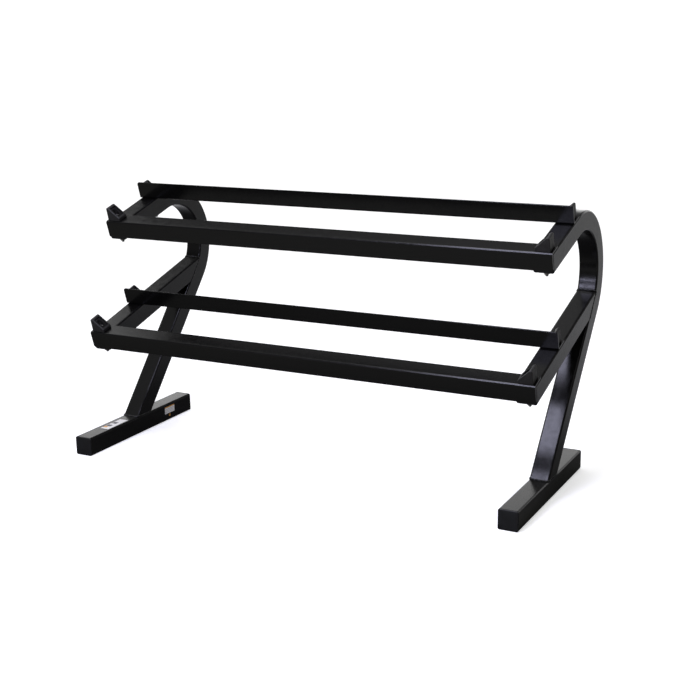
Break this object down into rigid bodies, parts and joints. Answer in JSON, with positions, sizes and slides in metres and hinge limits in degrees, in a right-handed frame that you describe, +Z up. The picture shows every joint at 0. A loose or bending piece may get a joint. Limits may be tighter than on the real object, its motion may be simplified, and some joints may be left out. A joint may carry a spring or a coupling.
{
  "type": "dumbbell rack",
  "caption": "Two-tier dumbbell rack: cane-shaped square-tube end frames on flat feet, joined by tilted angle rails with rubber wedge end stops.",
  "frame": {"origin": "on the floor, under the middle of the rack's width and depth", "axes": "+X along the rails, to the right as one faces the rack's front; +Y to the rear; +Z up"},
  "size_m": [1.32, 0.6396, 0.7337],
  "materials": {
    "frame_coat": "semi-gloss black powder coat",
    "rail_coat": "semi-gloss black powder coat",
    "stop_rubber": "matt moulded black rubber",
    "plug_plastic": "matt moulded black plastic",
    "fastener_steel": "dark zinc-plated steel",
    "label_film": "satin white adhesive film",
    "dot_film": "satin amber adhesive film"
  },
  "bodies": {
    "root": {"left_foot_tube": "frame_coat", "left_upright_tube": "frame_coat", "left_lower_arm_tube": "frame_coat", "left_foot_front_plug": "plug_plastic", "left_foot_rear_plug": "plug_plastic", "right_foot_tube": "frame_coat", "right_upright_tube": "frame_coat", "right_lower_arm_tube": "frame_coat", "right_foot_front_plug": "plug_plastic", "right_foot_rear_plug": "plug_plastic", "upper_front_rail": "rail_coat", "upper_rear_rail": "rail_coat", "left_upper_arm_plug": "plug_plastic", "left_upper_front_end_stop": "stop_rubber", "left_upper_front_bolt": "fastener_steel", "left_upper_front_washer": "fastener_steel", "left_upper_front_nut": "fastener_steel", "left_upper_rear_end_stop": "stop_rubber", "left_upper_rear_bolt": "fastener_steel", "left_upper_rear_washer": "fastener_steel", "left_upper_rear_nut": "fastener_steel", "right_upper_arm_plug": "plug_plastic", "right_upper_front_end_stop": "stop_rubber", "right_upper_front_bolt": "fastener_steel", "right_upper_front_washer": "fastener_steel", "right_upper_front_nut": "fastener_steel", "right_upper_rear_end_stop": "stop_rubber", "right_upper_rear_bolt": "fastener_steel", "right_upper_rear_washer": "fastener_steel", "right_upper_rear_nut": "fastener_steel", "lower_front_rail": "rail_coat", "lower_rear_rail": "rail_coat", "left_lower_arm_plug": "plug_plastic", "left_lower_front_end_stop": "stop_rubber", "left_lower_front_bolt": "fastener_steel", "left_lower_front_washer": "fastener_steel", "left_lower_front_nut": "fastener_steel", "left_lower_rear_end_stop": "stop_rubber", "left_lower_rear_bolt": "fastener_steel", "left_lower_rear_washer": "fastener_steel", "left_lower_rear_nut": "fastener_steel", "right_lower_arm_plug": "plug_plastic", "right_lower_front_end_stop": "stop_rubber", "right_lower_front_bolt": "fastener_steel", "right_lower_front_washer": "fastener_steel", "right_lower_front_nut": "fastener_steel", "right_lower_rear_end_stop": "stop_rubber", "right_lower_rear_bolt": "fastener_steel", "right_lower_rear_washer": "fastener_steel", "right_lower_rear_nut": "fastener_steel", "left_foot_top_label": "label_film", "left_foot_side_label": "label_film", "left_foot_dot_label": "dot_film"}
  },
  "joints": []
}
